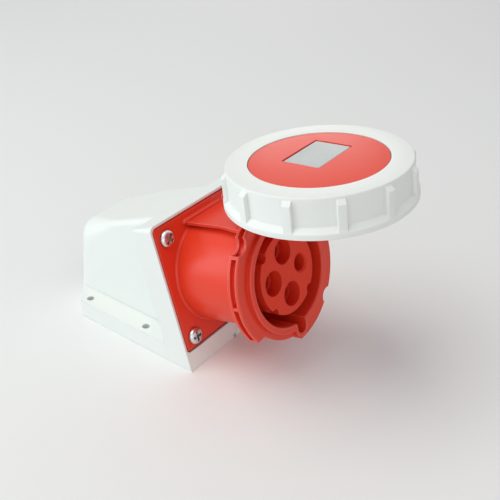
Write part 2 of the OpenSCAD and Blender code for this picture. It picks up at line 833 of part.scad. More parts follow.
module carrier_screws() {
  head_r = 1.8 * carrier_screw_r;
  head_h = 2;
  color(steel) at_socket() for (angle = carrier_screw_angles) rotate(angle)
    translate([carrier_screw_at, 0, carrier_back]) difference() {
      union() {
        cylinder(r = carrier_screw_r, h = carrier_screw_len);
        translate([0, 0, -head_h]) cylinder(r = head_r, h = head_h);
      }
      translate([-head_r - overlap, -0.4, -head_h - overlap]) cube([2 * head_r + 1, 0.8, 1 + overlap]);
    }
}

// Slotted grub screws that clamp the wires, one in each terminal end.
module terminal_screws() {
  color(steel) at_socket() for (angle = [0:90:270]) at_contact(angle)
    translate([wire_r - 1, 0, terminal_end + clamp_back]) rotate([0, 90, 0]) difference() {
      cylinder(r = clamp_r, h = clamp_len);
      translate([-clamp_r - overlap, -0.5, clamp_len - 1.2]) cube([2 * clamp_r + 1, 1, 2]);
    }
}

module hinge_pin() {
  color(steel) at_socket() translate([-ear_half, hinge_up, hinge_out]) rotate([0, 90, 0])
    cylinder(r = pin_r, h = 2 * ear_half);
}

// Rubber grommet in the cable entry, closed by a stepped membrane.
module cable_grommet() {
  lip = 2.5;
  skin = 1.6;
  cone_r = 0.55 * entry_r;
  neck_r = entry_r - grommet_gap;
  neck_to = entry_len + grommet_gap;
  color(rubber) entry_axis() rotate_extrude()
    polygon([[0, -lip - 3], [cone_r, -lip - 3], [entry_r - 2, -lip], [entry_r + 3, -lip],
      [entry_r + 3, -grommet_gap], [neck_r, -grommet_gap], [neck_r, neck_to], [entry_r + 1.5, neck_to],
      [entry_r - 0.5, neck_to + lip], [entry_r - 3, neck_to + lip], [entry_r - 3, 0],
      [cone_r, -lip - 3 + skin], [0, -lip - 3 + skin]]);
}

// The arm that runs from the cap, inside the ring, to the knuckle on the hinge pin.
module lid_arm() {
  across(-arm_half, arm_half) difference() {
    union() {
      polygon([[arm_low, cap_back + overlap], [arm_high, cap_back + overlap],
        [arm_high, ring_back + lip_gap], [arm_high + 2.6, ring_back - lip_gap - 0.2],
        [hinge_up, hinge_out + knuckle_r], [hinge_up, hinge_out - knuckle_r],
        [arm_low + 3, hinge_out - 2], [arm_low, hinge_out + 1]]);
      translate([hinge_up, hinge_out]) circle(knuckle_r);
    }
    translate([hinge_up, hinge_out]) circle(pin_r + pin_gap);
  }
}

module lid_cap() {
  color(red) at_lid() difference() {
    union() {
      translate([0, 0, cap_back]) cylinder(r = cap_r, h = cap_t);
      rotate_extrude() polygon(concat([[0, cap_back], [disc_r, cap_back]],
        [for (i = [8:-1:0]) [disc_r * i / 8, disc_edge + disc_crown * (1 - i * i / 64)]]));
      lid_arm();
    }
    translate([0, 0, cap_back - overlap]) difference() {
      cylinder(r = cap_hollow_r, h = disc_edge - cap_skin - cap_back + overlap);
      for (turn = [0:60:120]) rotate(turn) translate([-far / 2, -cap_rib_t / 2, -overlap])
        cube([far, cap_rib_t, far]);
    }
    tube(seal_r - seal_w / 2, seal_r + seal_w / 2, cap_back - overlap, cap_back + seal_groove);
    translate([plate_x, plate_y, plate_floor]) linear_extrude(far)
      square([recess_w, recess_h], center = true);
  }
}

module lid_seal() {
  color(rubber) at_lid()
    tube(seal_r - seal_w / 2, seal_r + seal_w / 2, seal_face, cap_back + seal_groove);
}

module rating_plate() {
  color([0.80, 0.82, 0.82]) at_lid() translate([plate_x, plate_y, plate_floor]) linear_extrude(plate_t)
    rounded_rect(recess_w - 2 * plate_rim, recess_h - 2 * plate_rim, 1);
}

module grip_rib() {
  rotate([0, 0, -rib_width / 2]) rotate_extrude(angle = rib_width)
    polygon([[ring_in_r + 1, ring_back], [rib_r, ring_back], [rib_r, lid_top - rib_proud - 1.5],
      [skirt_r - 0.4, lid_top - 1.2], [ring_in_r + 1, lid_top - 1.2]]);
}

module bayonet_ring() {
  color(white) at_lid() {
    rotate_extrude()
      polygon([[ring_in_r, ring_back], [lip_r - 0.6, ring_back], [lip_r, ring_back + 0.6],
        [lip_r, ring_back + lip_h], [skirt_r, ring_back + lip_h + lip_proud],
        [skirt_r, lid_top - 1], [skirt_r - 0.8, lid_top], [window_r + 0.3, lid_top],
        [window_r, lid_top - 0.3], [window_r, ring_top_back], [ring_in_r, ring_top_back]]);
    for (i = [0:rib_count - 1]) rotate(rib_from + i * 360 / rib_count) grip_rib();
    for (turn = [0, 180])
      arc_block(lug_r - tooth_reach, ring_in_r + 1, turn + tooth_at - tooth_width / 2,
        turn + tooth_at + tooth_width / 2, tooth_front - tooth_t, tooth_front);
    for (i = [0:bead_count - 1])
      rotate(i * 360 / bead_count)
        arc_block(bead_r, ring_in_r + 1, -bead_angle / 2, bead_angle / 2, cap_back - ring_gap - bead_t,
          cap_back - ring_gap);
  }
}

wall_box();
flange_gasket();
socket_body();
flange_screws();
contact_insert();
contact_top();
contact_right();
contact_left();
contact_earth();
contact_springs();
terminal_carrier();
carrier_screws();
terminal_screws();
hinge_pin();
cable_grommet();
lid_cap();
lid_seal();
rating_plate();
bayonet_ring();
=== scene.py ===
# %% [markdown]
# Surface mounted power socket
#
# The object is a wall box of white plastic with an inclined front. A red socket body is screwed to
# that front, and its hinged lid carries a white locking ring with grip ribs. The lid stands open.
# The solids come from the CAD model. This lesson gives them their finishes, and makes anew the
# pieces whose roundings, threads or rubber lips a plain solid doesn't have.

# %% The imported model
import json
import math

import bpy
import numpy as np
from mathutils import Matrix, Vector


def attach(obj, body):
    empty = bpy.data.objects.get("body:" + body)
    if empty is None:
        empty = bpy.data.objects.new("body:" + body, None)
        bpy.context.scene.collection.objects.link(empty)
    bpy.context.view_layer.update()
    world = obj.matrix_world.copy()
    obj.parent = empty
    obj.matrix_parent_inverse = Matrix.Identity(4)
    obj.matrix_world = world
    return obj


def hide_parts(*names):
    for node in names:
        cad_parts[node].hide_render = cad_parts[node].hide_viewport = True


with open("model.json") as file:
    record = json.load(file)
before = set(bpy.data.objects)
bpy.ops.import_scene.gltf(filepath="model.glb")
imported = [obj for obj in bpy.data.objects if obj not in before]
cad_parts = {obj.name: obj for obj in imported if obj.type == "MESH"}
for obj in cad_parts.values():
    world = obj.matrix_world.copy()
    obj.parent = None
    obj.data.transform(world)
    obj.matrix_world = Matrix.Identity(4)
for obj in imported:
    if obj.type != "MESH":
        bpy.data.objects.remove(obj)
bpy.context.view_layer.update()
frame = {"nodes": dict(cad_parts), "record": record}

nodes = frame["nodes"]


# %% [markdown]
# Two working frames
#
# The socket leans back by 15.6 degrees, so round pieces are easier to draw in the socket's own
# frame: x across, y up the front, z out along the socket axis, all in millimetres. The lid is drawn
# closed in that same frame and then turned open about the hinge pin. Blender could turn the objects
# instead, but a pattern on Object coordinates would turn with them, so the points are moved and every
# object stays at the origin. Both functions take whole arrays of points.

# %% Socket frame and lid frame
MM = 0.001
TILT, LID_OPEN = math.radians(15.6), math.radians(81.0)
FRONT_FOOT, AXIS_UP = 76.0, 60.0
HINGE_UP, HINGE_OUT = 58.9, 43.1
ACROSS = np.array([0.0, 1.0, 0.0])
UP_FRONT = np.array([-math.sin(TILT), 0.0, math.cos(TILT)])
OUTWARDS = np.array([math.cos(TILT), 0.0, math.sin(TILT)])
SOCKET_FOOT = np.array([FRONT_FOOT, 0.0, 0.0]) + AXIS_UP * UP_FRONT


def on_socket(points):
    """Foot of the socket axis, plus x times across, plus y times up the front, plus z outwards."""
    points = np.asarray(points, float)
    return SOCKET_FOOT + points @ np.stack([ACROSS, UP_FRONT, OUTWARDS])


def on_lid(points):
    """The closed lid's points, turned by the opening angle about the pin, in the up-and-out plane."""
    points = np.asarray(points, float)
    up, out = points[..., 1] - HINGE_UP, points[..., 2] - HINGE_OUT
    turned_up = HINGE_UP + up * math.cos(LID_OPEN) + out * math.sin(LID_OPEN)
    turned_out = HINGE_OUT - up * math.sin(LID_OPEN) + out * math.cos(LID_OPEN)
    return on_socket(np.stack([points[..., 0], turned_up, turned_out], -1))


print("hinge pin at", on_socket([0.0, HINGE_UP, HINGE_OUT]).round(1), "mm")

# %% [markdown]
# Camera
#
# The photograph looks down on the socket from the front left, with a rather long lens. The camera's
# place was found by matching the circles of the mouth, the lid and the screw heads. A Track To
# constraint could aim it, but the fit also gave a small roll, so the three axes of the camera are
# worked out from its angles and written into its matrix.

# %% Camera at the photograph's place
CAMERA_PLACE = Vector((0.35598, -0.34884, 0.36147))
AZIMUTH, ELEVATION, ROLL = (math.radians(a) for a in (37.31, 32.62, -0.55))
FOCAL_PIXELS, PHOTO_PIXELS, SENSOR = 779.87, 500, 36.0
level = Vector((math.cos(AZIMUTH), math.sin(AZIMUTH), 0.0))
ahead = Vector((-math.sin(AZIMUTH) * math.cos(ELEVATION),
                math.cos(AZIMUTH) * math.cos(ELEVATION),
                -math.sin(ELEVATION)))
side = level * math.cos(ROLL) + level.cross(ahead) * math.sin(ROLL)
axes = Matrix((side, side.cross(ahead), -ahead)).transposed()
camera = bpy.data.objects.new("camera", bpy.data.cameras.new("camera"))
bpy.context.scene.collection.objects.link(camera)
camera.matrix_world = Matrix.Translation(CAMERA_PLACE) @ axes.to_4x4()
camera.data.sensor_width = SENSOR
camera.data.lens = FOCAL_PIXELS / PHOTO_PIXELS * SENSOR
bpy.context.scene.camera = camera
bpy.context.scene.view_settings.view_transform = "Standard"
print("lens", round(camera.data.lens, 2), "mm")

# %% [markdown]
# Lamps and sky
#
# The object lies on its wall face, as on a studio table. A large warm lamp hangs above it, a cool one
# stands low at the left like a window, a small one behind draws the sheen on the lid, and a weak one
# low at the front opens the shade under the flange. One lamp alone would do, but the white walls
# would then either clip or turn grey. The sky fills the shadows. Its pale background is shown only to
# the camera and to mirrored and transmitted rays, so that it adds no light to the object.

# %% Lamps
AIM = Vector((0.07, 0.0, 0.08))
LAMPS = (  # name, place, width, power, tint
    ("key", (-0.20, -0.50, 1.70), 1.2, 12.4, (1.0, 0.98, 0.91)),
    ("side", (-0.95, -1.10, 0.36), 1.2, 9.9, (0.74, 0.92, 1.0)),
    ("back", (-0.75, 1.20, 0.50), 0.4, 1.0, (1.0, 0.98, 0.94)),
    ("fill", (0.70, -0.70, 0.15), 0.6, 0.9, (1.0, 0.99, 0.97)),
)
for name, place, width, power, tint in LAMPS:
    lamp = bpy.data.objects.new(name, bpy.data.lights.new(name, "AREA"))
    lamp.data.size, lamp.data.energy, lamp.data.color = width, power, tint
    lamp.location = place
    lamp.rotation_euler = (AIM - lamp.location).to_track_quat("-Z", "Y").to_euler()
    bpy.context.scene.collection.objects.link(lamp)
print("lamps:", len(LAMPS))

# %% Node helpers


def add_node(tree, kind, settings=None, **values):
    """Adds a shader node, sets its options, and sets or links its inputs by name or by number."""
    made = tree.nodes.new(kind)
    for option, value in (settings or {}).items():
        setattr(made, option, value)
    for name, value in values.items():
        key = int(name[1:]) if name[0] == "_" else name.replace("_", " ")
        if isinstance(value, bpy.types.NodeSocket):
            tree.links.new(value, made.inputs[key])
        else:
            made.inputs[key].default_value = value
    return made


def math_node(tree, operation, first, second, third=0.0):
    """One arithmetic step on two or three values or sockets."""
    step = add_node(tree, "ShaderNodeMath", {"operation": operation}, _0=first, _1=second, _2=third)
    return step.outputs[0]


# %% Sky
SKY_LIGHT, BACKGROUND = 0.50, 0.93
SKY_TINT = (0.97, 0.985, 1.0, 1.0)
sky = bpy.data.worlds.new("studio")
bpy.context.scene.world = sky
sky.use_nodes = True
tree = sky.node_tree
tree.nodes.clear()
ray = add_node(tree, "ShaderNodeLightPath")
seen = math_node(tree, "MAXIMUM", ray.outputs["Is Camera Ray"], ray.outputs["Is Glossy Ray"])
seen = math_node(tree, "MAXIMUM", seen, ray.outputs["Is Transmission Ray"])
strength = math_node(tree, "MULTIPLY_ADD", seen, BACKGROUND - SKY_LIGHT, SKY_LIGHT)
dome = add_node(tree, "ShaderNodeBackground", Color=SKY_TINT, Strength=strength)
add_node(tree, "ShaderNodeOutputWorld", Surface=dome.outputs[0])
print("sky:", SKY_LIGHT, "as light,", BACKGROUND, "as background")

# %% [markdown]
# Floor
#
# A product like this is usually photographed on a sheet of white paper. A plane would show its far
# edge. A sheet that is flat under the object and sweeps up far behind it has no visible edge, so the
# floor is a grid whose height is a smooth function of the distance behind the object.

# %% Meshes from whole arrays


def grid_quads(rows, columns, wrap_rows=True, wrap_columns=True):
    """Quads between neighbouring rows and columns of a grid whose points are numbered row by row."""
    i = np.arange(rows if wrap_rows else rows - 1)[:, None]
    j = np.arange(columns if wrap_columns else columns - 1)[None, :]
    right, below = (j + 1) % columns, ((i + 1) % rows) * columns
    corners = (i * columns + j, i * columns + right, below + right, below + j)
    return np.stack(np.broadcast_arrays(*corners), -1).reshape(-1, 4)


def shell_volume(points, faces):
    """Six times the volume: the sum of corner . (corner x corner) over fan triangles of all faces."""
    volume = 0.0
    for block in faces:
        corner = points[block]
        fan = np.cross(corner[:, 1:-1], corner[:, 2:])
        volume += (corner[:, :1] * fan).sum()
    return volume


def new_object(name, shells, closed=True, sharp=35.0):
    """One object from shells of points in mm and blocks of faces; a negative volume is turned round."""
    all_points, all_faces, start = [], [], 0
    for points, faces in shells:
        points = points.reshape(-1, 3)
        inside_out = closed and shell_volume(points - points.mean(0), faces) < 0
        for block in faces:
            all_faces += ((block[:, ::-1] if inside_out else block) + start).tolist()
        all_points.append(points)
        start += len(points)
    mesh = bpy.data.meshes.new(name)
    mesh.from_pydata((np.concatenate(all_points) * MM).tolist(), [], all_faces)
    mesh.polygons.foreach_set("use_smooth", np.ones(len(mesh.polygons), bool))
    mesh.set_sharp_from_angle(angle=math.radians(sharp))
    mesh.update()
    made = bpy.data.objects.new(name, mesh)
    bpy.context.scene.collection.objects.link(made)
    print(name, len(mesh.vertices), "vertices,", len(mesh.polygons), "faces")
    return made


# %% Floor sheet
PAPER_HALF, PAPER_LINES, PAPER_MIDDLE = 3500.0, 61, 70.0
SWEEP_FROM, SWEEP_RATE = 1800.0, 0.0006
along = np.linspace(-PAPER_HALF, PAPER_HALF, PAPER_LINES)
paper_x, paper_y = np.meshgrid(along, along, indexing="ij")
behind = paper_y * math.cos(AZIMUTH) - paper_x * math.sin(AZIMUTH)
sweep = SWEEP_RATE * np.maximum(behind - SWEEP_FROM, 0.0) ** 2
paper_points = np.stack([paper_x + PAPER_MIDDLE, paper_y, sweep], -1)
paper_quads = grid_quads(PAPER_LINES, PAPER_LINES, False, False)[:, ::-1]
floor = new_object("floor", [(paper_points, [paper_quads])], closed=False)

# %% Material helpers


def new_material(name, tint):
    """A material with an empty node tree, and the plain colour that a simple viewport shows."""
    material = bpy.data.materials.new(name)
    material.use_nodes = True
    material.diffuse_color = tint
    material.node_tree.nodes.clear()
    return material, material.node_tree


def object_place(tree):
    """The point on the surface, in the object's own coordinates."""
    return add_node(tree, "ShaderNodeTexCoord").outputs["Object"]


def noise(tree, where, scale, detail):
    """Smooth noise round one half, with the given number of waves per metre."""
    wave = add_node(tree, "ShaderNodeTexNoise", Vector=where, Scale=scale, Detail=detail)
    return wave.outputs[0]


def mix_colour(tree, share, first, second):
    """The first colour, with the given share of the second."""
    mixed = add_node(tree, "ShaderNodeMix", {"data_type": "RGBA"}, _0=share, _6=first, _7=second)
    return mixed.outputs[2]


# %% Floor paper
PAPER_LOW, PAPER_HIGH = (0.85, 0.85, 0.85, 1.0), (0.88, 0.88, 0.875, 1.0)
FIBRE_WAVES = 900.0
paper, tree = new_material("floor_paper", PAPER_HIGH)
fibre = noise(tree, object_place(tree), FIBRE_WAVES, 3.0)
matt = add_node(tree, "ShaderNodeBsdfPrincipled", Roughness=0.9, Specular_IOR_Level=0.1,
                Base_Color=mix_colour(tree, fibre, PAPER_LOW, PAPER_HIGH))
add_node(tree, "ShaderNodeOutputMaterial", Surface=matt.outputs[0])
floor.data.materials.append(paper)
print("floor finish:", paper.name)

# %% [markdown]
# Moulded skin
#
# An eroded steel mould leaves a fine texture on plastic, and the flow of the melt leaves slow changes
# of tone and gloss. Every plastic and rubber piece here shows both, each in its own strength. The
# nodes could be repeated in each material, but a node group with its own inputs is built once.

# %% Group helper


def new_group(name, inputs, outputs):
    """An empty shader group with named sockets, and its input and output nodes."""
    group = bpy.data.node_groups.new(name, "ShaderNodeTree")
    for label, kind, value in inputs:
        socket = group.interface.new_socket(
            label, in_out="INPUT", socket_type="NodeSocket" + kind)
        socket.default_value = value
    for label, kind in outputs:
        group.interface.new_socket(label, in_out="OUTPUT", socket_type="NodeSocket" + kind)
    takes, gives = group.nodes.new("NodeGroupInput"), group.nodes.new("NodeGroupOutput")
    return group, takes.outputs, gives.inputs


# %% Moulded skin group
FLOW_WAVES, NOISE_MIDDLE = 28.0, 0.5
skin, takes, gives = new_group(
    "moulded_skin",
    (("Tint", "Color", (0.8, 0.8, 0.8, 1.0)), ("Grain", "Float", 2200.0), ("Tone", "Float", 0.05),
     ("Gloss", "Float", 0.4), ("Gloss spread", "Float", 0.1)),
    (("Color", "Color"), ("Roughness", "Float"), ("Height", "Float")))
where = object_place(skin)
erosion = noise(skin, where, takes["Grain"], 2.0)
flow = math_node(skin, "SUBTRACT", noise(skin, where, FLOW_WAVES, 4.0), NOISE_MIDDLE)
bright = math_node(skin, "ADD", math_node(skin, "MULTIPLY", flow, takes["Tone"]), 1.0)
tinted = add_node(skin, "ShaderNodeHueSaturation", Value=bright, Color=takes["Tint"])
uneven = math_node(skin, "ADD", math_node(skin, "SUBTRACT", erosion, NOISE_MIDDLE), flow)
spread = math_node(skin, "MULTIPLY", uneven, takes["Gloss spread"])
skin.links.new(tinted.outputs[0], gives["Color"])
skin.links.new(math_node(skin, "ADD", spread, takes["Gloss"]), gives["Roughness"])
skin.links.new(erosion, gives["Height"])
print("group:", skin.name, "with", len(skin.nodes), "nodes")

# %% [markdown]
# Eased edges and creases
#
# No moulded edge is truly sharp: it catches a fine line of light, and shade gathers in a narrow crease.
# A Bevel modifier would change the CAD meshes, which have to stay as they are, so the Bevel
# node turns only the shading normal. Where that normal differs from the plain one there is an edge.
# The Ambient Occlusion node tells how open a place is: an open edge gives the first mask, a place
# that is closed in gives the second. The finishes use the first for a painted highlight along edges
# and the second for painted shade in creases.

# %% Eased edge group
EDGE_GAIN, EDGE_CLOSED, EDGE_OPEN = 2.0, 0.62, 0.9
CREASE_NONE, CREASE_FULL = 0.85, 0.35
eased, takes, gives = new_group(
    "eased_edge", (("Radius", "Float", 0.0005), ("Reach", "Float", 0.003)),
    (("Normal", "Vector"), ("Edge", "Float"), ("Crease", "Float")))
rounded = add_node(eased, "ShaderNodeBevel", {"samples": 6}, Radius=takes["Radius"]).outputs[0]
plain = add_node(eased, "ShaderNodeNewGeometry").outputs["Normal"]
agree = add_node(eased, "ShaderNodeVectorMath", {"operation": "DOT_PRODUCT"}, _0=rounded, _1=plain)
differ = math_node(eased, "SUBTRACT", 1.0, agree.outputs["Value"])
opening = add_node(eased, "ShaderNodeAmbientOcclusion", {"samples": 4}, Distance=takes["Reach"])
opening = opening.outputs["AO"]
free = add_node(eased, "ShaderNodeMapRange", {"interpolation_type": "SMOOTHSTEP"},
                _0=opening, _1=EDGE_CLOSED, _2=EDGE_OPEN)
closed_in = add_node(eased, "ShaderNodeMapRange", _0=opening, _1=CREASE_NONE, _2=CREASE_FULL)
edge_mask = math_node(eased, "MULTIPLY", differ, EDGE_GAIN)
edge_mask = math_node(eased, "MULTIPLY", edge_mask, free.outputs[0])
eased.links.new(rounded, gives["Normal"])
eased.links.new(edge_mask, gives["Edge"])
eased.links.new(closed_in.outputs[0], gives["Crease"])
print("group:", eased.name, "with", len(eased.nodes), "nodes")

# %% [markdown]
# Handling marks
#
# Any part that has been held has faint rubbed streaks, which show in its gloss and not in its colour.
# Drawn scratches would be too much for a new product. Noise that is stretched along one direction and
# shown in patches only is enough, and plastics and metals share it.

# %% Handling marks group
STREAK_TURN, STREAK_WAVES = (0.4, 0.7, 0.3), (40.0, 420.0, 420.0)
PATCH_WAVES, MARK_MEAN = 35.0, 0.25
marks, takes, gives = new_group(
    "handling_marks", (("Amount", "Float", 0.1),), (("Rub", "Float"),))
where = object_place(marks)
stretched = add_node(marks, "ShaderNodeMapping", Vector=where, Rotation=STREAK_TURN,
                     Scale=STREAK_WAVES)
streak = noise(marks, stretched.outputs[0], 1.0, 3.0)
patch = noise(marks, where, PATCH_WAVES, 2.0)
above = math_node(marks, "SUBTRACT", math_node(marks, "MULTIPLY", streak, patch), MARK_MEAN)
marks.links.new(math_node(marks, "MULTIPLY", above, takes["Amount"]), gives["Rub"])
print("group:", marks.name, "with", len(marks.nodes), "nodes")

# %% [markdown]
# Plastics and rubber
#
# The box and the ring are one white moulded plastic with a satin skin. The socket and the lid are an
# orange red of the same kind, a little glossier, and the insert is the same red from a duller mould.
# Each could be a flat colour, but then the large plain walls would look drawn: the skin, the eased
# edges and the marks give them the slight unevenness of a real moulding. A paler highlight is painted
# along the edges and a darker shade into the creases. The rubber is duller and coarser.

# %% One recipe for all moulded finishes
# Share of white in the painted edge highlight, and strength of the dark tint of the painted crease
# shade.
EDGE_WHITE, CREASE_SHADE_TINT = 0.45, 0.35


def add_group(tree, group, **values):
    """Places a shared group in a material, with its own values."""
    return add_node(tree, "ShaderNodeGroup", {"node_tree": group}, **values)


def toned(tint, times, plus=0.0):
    """A tint with each of its colours multiplied and raised, and full alpha."""
    return tuple(times * c + plus for c in tint[:3]) + (1.0,)


def moulded(name, tint, gloss, grain, depth, tone=0.05, spread=0.1, edge=0.0005, painted_highlight=0.1,
            rub=0.12, level=0.5, painted_shade=0.25):
    """A Principled surface: tone and gloss from the skin, a bump of the grain on the eased normal."""
    material, tree = new_material(name, tint)
    surface = add_group(tree, skin, Tint=tint, Grain=grain, Tone=tone, Gloss=gloss,
                        Gloss_spread=spread)
    rounding = add_group(tree, eased, Radius=edge)
    rubbed = add_group(tree, marks, Amount=rub)
    # Painted highlight: open edges are mixed towards a paler tint.
    highlight_share = math_node(tree, "MULTIPLY", rounding.outputs["Edge"], painted_highlight)
    # Painted shade: creases and other closed-in places are mixed towards a darker tint.
    shade = math_node(tree, "MULTIPLY", rounding.outputs["Crease"], painted_shade)
    pale = toned(tint, 1.0 - EDGE_WHITE, EDGE_WHITE)
    crease_shade_colour = toned([c * c for c in tint], CREASE_SHADE_TINT)
    colour = mix_colour(tree, highlight_share, surface.outputs["Color"], pale)
    colour = mix_colour(tree, shade, colour, crease_shade_colour)
    rough = math_node(tree, "ADD", surface.outputs["Roughness"], rubbed.outputs["Rub"])
    bump = add_node(tree, "ShaderNodeBump", Distance=depth, Strength=1.0,
                    Height=surface.outputs["Height"], Normal=rounding.outputs["Normal"])
    shader = add_node(tree, "ShaderNodeBsdfPrincipled", Base_Color=colour, Roughness=rough,
                      Normal=bump.outputs[0], Specular_IOR_Level=level)
    add_node(tree, "ShaderNodeOutputMaterial", Surface=shader.outputs[0])
    print("finish:", name)
    return material


# %% Moulded finishes
WHITE = (0.845, 0.862, 0.835, 1.0)
RED = (0.82, 0.050, 0.020, 1.0)
RUBBER = (0.022, 0.022, 0.024, 1.0)
PLASTIC_GRAIN, RUBBER_GRAIN = 2600.0, 1500.0
# Each finish sets the strength of its painted edge highlight and painted crease shade; the defaults
# hold where it sets none.
box_white = moulded("box_white", WHITE, gloss=0.42, grain=PLASTIC_GRAIN, depth=0.00002, tone=0.03)
ring_white = moulded("ring_white", WHITE, gloss=0.38, grain=PLASTIC_GRAIN, depth=0.000015,
                     tone=0.03, edge=0.0003)
socket_red = moulded("socket_red", RED, gloss=0.32, grain=PLASTIC_GRAIN, depth=0.000012,
                     tone=0.06, spread=0.08, edge=0.0006, painted_highlight=1.5, level=0.36, painted_shade=0.22)
# The insert gets more painted shade in its holes and creases than the socket.
insert_red = moulded("insert_red", RED, gloss=0.46, grain=PLASTIC_GRAIN, depth=0.000012,
                     tone=0.06, spread=0.08, painted_highlight=0.6, level=0.16, painted_shade=0.45)
black_rubber = moulded("black_rubber", RUBBER, gloss=0.62, grain=RUBBER_GRAIN, depth=0.00004,
                       tone=0.2, edge=0.0003, painted_highlight=0.05)

# %% [markdown]
# Metals
#
# The screws are steel with a bright zinc coat, whose fine crystals break up the mirror a little, and
# their cross recesses and the foot of each head get painted shade. The contacts are turned brass, so
# their grooves run round their own axis. The plate on the lid is a plain foil, brushed one way.
# Anisotropic shading could give the brushed look, but stretched noise in roughness and bump also
# shows the single lines.

# %% One recipe for all metals
METAL_EDGE, METAL_RUB = 0.00025, 0.35
LINE_TINT, RECESS_SHADE_TINT, LINE_GLOSS = 0.82, 0.08, 0.16


def metal(name, tint, gloss, stretch, depth, metallic=1.0, painted_shade=0.0):
    """A Principled metal: roughness and bump from noise stretched along the working direction."""
    material, tree = new_material(name, tint)
    worked = add_node(tree, "ShaderNodeMapping", Vector=object_place(tree),
                      Rotation=(0.0, -TILT, 0.0), Scale=stretch)
    line = noise(tree, worked.outputs[0], 1.0, 4.0)
    rubbed = add_group(tree, marks, Amount=METAL_RUB)
    rounding = add_group(tree, eased, Radius=METAL_EDGE)
    # Painted shade: recesses, and the foot of a part where it meets another, are mixed towards a darker
    # tint.
    shade = math_node(tree, "MULTIPLY", rounding.outputs["Crease"], painted_shade)
    colour = mix_colour(tree, line, toned(tint, LINE_TINT), tint)
    colour = mix_colour(tree, shade, colour, toned(tint, RECESS_SHADE_TINT))
    rough = math_node(tree, "ADD", math_node(tree, "MULTIPLY", line, LINE_GLOSS), gloss)
    rough = math_node(tree, "ADD", rough, rubbed.outputs["Rub"])
    bump = add_node(tree, "ShaderNodeBump", Distance=depth, Strength=1.0, Height=line,
                    Normal=rounding.outputs["Normal"])
    shader = add_node(tree, "ShaderNodeBsdfPrincipled", Base_Color=colour, Metallic=metallic,
                      Roughness=rough, Normal=bump.outputs[0])
    add_node(tree, "ShaderNodeOutputMaterial", Surface=shader.outputs[0])
    print("finish:", name)
    return material


# %% Metal finishes
ZINC, BRASS, FOIL = (0.80, 0.81, 0.81, 1.0), (0.78, 0.56, 0.24, 1.0), (0.58, 0.61, 0.61, 1.0)
CRYSTALS, TURNED, BRUSHED = (900.0, 900.0, 900.0), (3000.0, 120.0, 120.0), (90.0, 2600.0, 2600.0)
# The screws get painted shade in their recesses; the brass and the foil get none.
zinc_steel = metal("zinc_steel", ZINC, gloss=0.22, stretch=CRYSTALS, depth=0.000012, painted_shade=0.65)
contact_brass = metal("contact_brass", BRASS, gloss=0.20, stretch=TURNED, depth=0.00001)
plate_foil = metal("plate_foil", FOIL, gloss=0.34, stretch=BRUSHED, depth=0.000006, metallic=0.35)

# %% [markdown]
# Finishes of the CAD nodes
#
# Each CAD node names the material slot of its part. The finish could be picked node by node, but a
# table from slot to finish keeps every piece of one material alike. Only the insert has a finish of
# its own.

# %% Slots and finishes
FINISHES = {
    "box_white": box_white, "socket_red": socket_red, "black_rubber": black_rubber,
    "contact_brass": contact_brass, "zinc_steel": zinc_steel, "plate_grey": plate_foil,
}
OWN_FINISHES = {"contact_insert": insert_red}
for part in frame["record"]["subparts"]:
    finish = OWN_FINISHES.get(part["node"], FINISHES[part["material_slot"]])
    solid = nodes[part["node"]]
    solid.data.materials.clear()
    solid.data.materials.append(finish)

# %% [markdown]
# Section outlines
#
# Most of the new pieces are round, so each is a section that is carried round an axis. A section is
# first written as plain corners, then every corner is eased by a short parabola. A fixed cut on both
# sides of the corner, instead of a fixed radius, keeps the same number of points in the same order
# for two related sections, so that one can swell into the other.

# %% Eased corners and turned surfaces


def rectangle(across, up):
    """The four corners between two limits across and two limits up, in turn."""
    return [(across[0], up[0]), (across[1], up[0]), (across[1], up[1]), (across[0], up[1])]


def ease(corners, cut, steps=5, closed=True):
    """Each corner becomes start(1-t)(1-t) + 2 corner t(1-t) + end t t, cut before to cut after it."""
    corners = np.asarray(corners, float)
    cut = np.broadcast_to(np.asarray(cut, float), len(corners))[:, None]
    before, after = np.roll(corners, 1, 0) - corners, np.roll(corners, -1, 0) - corners
    start = corners + cut * before / np.linalg.norm(before, axis=1, keepdims=True)
    end = corners + cut * after / np.linalg.norm(after, axis=1, keepdims=True)
    t = np.linspace(0.0, 1.0, steps)[None, :, None]
    path = start[:, None] * (1 - t) ** 2 + corners[:, None] * 2 * t * (1 - t) + end[:, None] * t ** 2
    if closed:
        return path.reshape(-1, 2)
    return np.concatenate([corners[:1], path[1:-1].reshape(-1, 2), corners[-1:]])


def full_turn(steps):
    """Equal angles round a full turn, without the repeated last one."""
    return np.arange(steps) * 2 * math.pi / steps


def carry_round(sections, angles):
    """Points (r cos a, r sin a, height) of a section (r, height) at every angle a."""
    sections = np.broadcast_to(sections, (len(angles),) + np.shape(sections)[-2:])
    radius, height = sections[..., 0], sections[..., 1]
    return np.stack([radius * np.cos(angles)[:, None], radius * np.sin(angles)[:, None], height], -1)


# %% [markdown]
# Locking ring
#
# The white ring turns on the lid and locks it behind the bayonet lugs. It is one moulding: a flat top
# with a round window, a thin skirt, a lip along its lower edge, twelve grip ribs with sloping tops,
# and inside two bayonet teeth and six snap beads. It could be cut from cylinders and boxes, but its
# charm is in the soft edges and in the ribs that grow out of the skirt. So two sections are drawn,
# one between the ribs and one on a rib, and the surface passes from one to the other with the angle.

